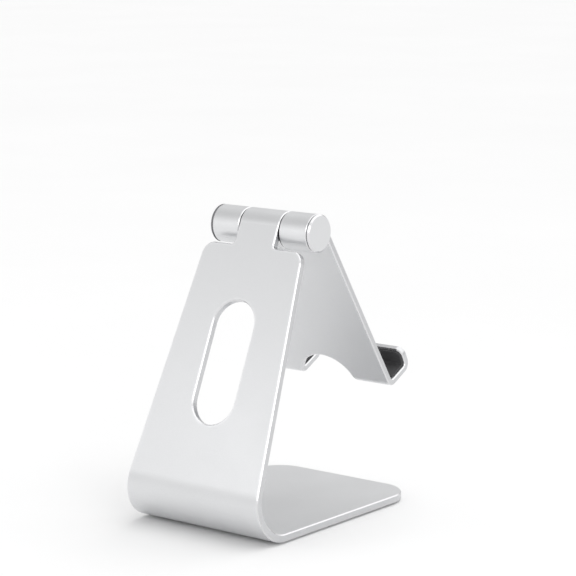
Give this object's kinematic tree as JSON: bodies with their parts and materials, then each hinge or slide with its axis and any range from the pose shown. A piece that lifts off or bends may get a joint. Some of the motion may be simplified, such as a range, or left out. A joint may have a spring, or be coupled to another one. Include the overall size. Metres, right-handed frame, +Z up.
{
  "type": "tablet stand",
  "caption": "Folding desk stand for a tablet: a bent metal base and slotted leg carry a hinged cradle plate with two hooked feet.",
  "frame": {"origin": "on the table, under the middle of the overall outline at rest", "axes": "+Z up; -Y towards the user and the side the screen faces; +X along the hinge, to the user's right"},
  "size_m": [0.0888, 0.1252, 0.149],
  "materials": {
    "base_leg": "bead-blasted, clear anodised, bright cut edges",
    "cradle": "bead-blasted, clear anodised, bright cut edges",
    "back_pad": "matt black silicone",
    "hook_pad_left": "matt black silicone",
    "hook_pad_right": "matt black silicone",
    "hinge_shaft": "turned stainless steel",
    "foot_front_left": "matt black silicone",
    "foot_front_right": "matt black silicone",
    "foot_rear_left": "matt black silicone",
    "foot_rear_right": "matt black silicone",
    "friction_washer_left": "dark friction washer",
    "friction_washer_right": "dark friction washer",
    "bush_left": "black acetal",
    "bush_right": "black acetal",
    "end_cap_left": "bead-blasted, clear anodised, bright cut edges",
    "end_cap_right": "bead-blasted, clear anodised, bright cut edges",
    "disc_springs": "turned stainless steel",
    "flat_washers": "turned stainless steel",
    "hinge_screws": "turned stainless steel"
  },
  "bodies": {
    "base": {"base_leg": "base_leg", "hinge_shaft": "hinge_shaft", "foot_front_left": "foot_front_left", "foot_front_right": "foot_front_right", "foot_rear_left": "foot_rear_left", "foot_rear_right": "foot_rear_right", "friction_washer_left": "friction_washer_left", "friction_washer_right": "friction_washer_right", "disc_springs": "disc_springs", "flat_washers": "flat_washers", "hinge_screws": "hinge_screws"},
    "cradle": {"cradle": "cradle", "back_pad": "back_pad", "hook_pad_left": "hook_pad_left", "hook_pad_right": "hook_pad_right", "bush_left": "bush_left", "bush_right": "bush_right", "end_cap_left": "end_cap_left", "end_cap_right": "end_cap_right"}
  },
  "joints": [
    {"name": "cradle_tilt", "type": "hinge", "parent": "base", "child": "cradle", "pos_m": [0, 0.0016, 0.13985], "axis": [1, 0, 0], "range_deg": [-220, 50]}
  ]
}
